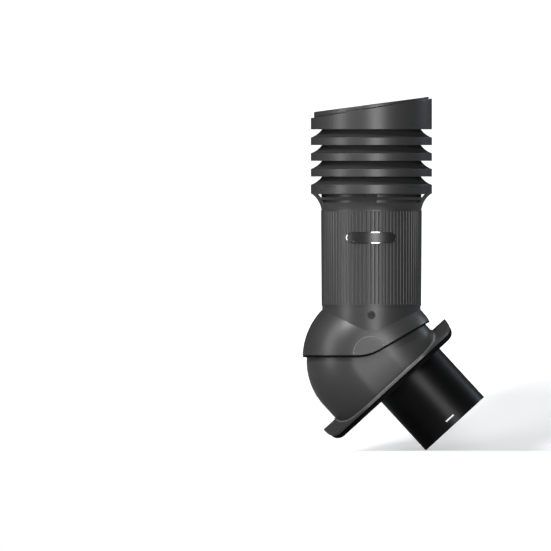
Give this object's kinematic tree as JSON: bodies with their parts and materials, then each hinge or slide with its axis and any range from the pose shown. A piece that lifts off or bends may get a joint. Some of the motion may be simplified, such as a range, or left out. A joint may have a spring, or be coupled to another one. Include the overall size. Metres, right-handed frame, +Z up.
{
  "type": "adjustable roof vent pipe",
  "caption": "Roof vent: louvred rain cap on a fluted stack, a ball hood that sets to the roof pitch, a domed saddle flange with seal, and a duct spigot",
  "frame": {"origin": "Where the axis of the duct spigot crosses the roof plane on which the seal rests.", "axes": "+Z up along the stack, +X down the roof slope in plan, Y along the ridge; the roof plane is pitched 42.5 degrees at rest."},
  "size_m": [0.3441, 0.264, 0.6705],
  "materials": {
    "roof_plastic": "satin anthracite",
    "seal_rubber": "black foam rubber",
    "pipe_plastic": "black, half gloss",
    "screw_steel": "blackened",
    "rod_steel": "zinc plated",
    "badge_plastic": "glossy, blank"
  },
  "bodies": {
    "base": {"base_dome": "roof_plastic", "flange_seal": "seal_rubber", "spigot_pipe": "pipe_plastic"},
    "stack": {"hood": "roof_plastic", "lock_screws": "screw_steel", "fluted_shell": "roof_plastic", "inner_pipe": "pipe_plastic", "drain_collar": "roof_plastic", "cap_base_ring": "roof_plastic", "louvre_ring_1": "roof_plastic", "louvre_ring_2": "roof_plastic", "louvre_ring_3": "roof_plastic", "cap_top_ring": "roof_plastic", "cap_lid": "roof_plastic", "tie_rods": "rod_steel", "badge_left": "badge_plastic", "badge_right": "badge_plastic"}
  },
  "joints": [
    {"name": "pitch_pivot", "type": "hinge", "parent": "base", "child": "stack", "pos_m": [0.07399, 0, 0.03338], "axis": [0, 1, 0], "range_deg": [-4.5, 27.5]}
  ]
}
